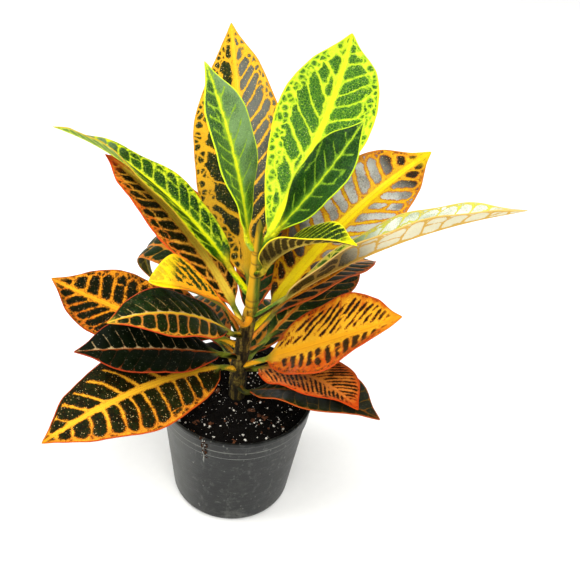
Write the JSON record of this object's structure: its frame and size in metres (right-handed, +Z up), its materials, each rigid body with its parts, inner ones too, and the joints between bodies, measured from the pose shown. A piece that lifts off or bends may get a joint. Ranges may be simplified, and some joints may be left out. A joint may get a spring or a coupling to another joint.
{
  "type": "potted croton",
  "caption": "Potted croton: broad waxy leaves with coloured veins on one stem, standing in soil in a tapered nursery pot",
  "frame": {"origin": "Centre of the pot's flat underside, on the ground", "axes": "+Z is up along the pot's axis, -Y faces the viewer of the picture, +X is the picture's right"},
  "size_m": [0.3126, 0.2401, 0.3326],
  "materials": {
    "pot": "dark grey moulded plastic, satin, lightly dusty and scuffed",
    "soil": "damp dark peat with white perlite grains and bark chips",
    "stem": "brown-grey bark low down, turning green near the crown",
    "leaf_dark": "waxy, near-black green with fine coloured veins",
    "leaf_orange": "waxy, orange net of veins round near-black green cells",
    "leaf_red": "waxy, dark green with a red-orange rib and margin",
    "leaf_yellow": "waxy, broad yellow rib and net over dark green cells",
    "leaf_pale": "waxy, cream and green striped, its underside greyish beige",
    "leaf_green": "waxy, fresh green with a yellow rib and yellow net"
  },
  "bodies": {
    "root": {"pot": "pot", "soil": "soil", "stem": "stem", "leaf_01": "leaf_dark", "leaf_02": "leaf_dark", "leaf_03": "leaf_orange", "leaf_04": "leaf_red", "leaf_05": "leaf_orange", "leaf_06": "leaf_orange", "leaf_07": "leaf_dark", "leaf_08": "leaf_dark", "leaf_09": "leaf_dark", "leaf_10": "leaf_orange", "leaf_11": "leaf_red", "leaf_12": "leaf_red", "leaf_13": "leaf_dark", "leaf_14": "leaf_dark", "leaf_15": "leaf_yellow", "leaf_16": "leaf_orange", "leaf_17": "leaf_pale", "leaf_18": "leaf_yellow", "leaf_19": "leaf_orange", "leaf_20": "leaf_yellow", "leaf_21": "leaf_green", "leaf_22": "leaf_green", "leaf_23": "leaf_green", "leaf_24": "leaf_green", "leaf_25": "leaf_green"}
  },
  "joints": []
}
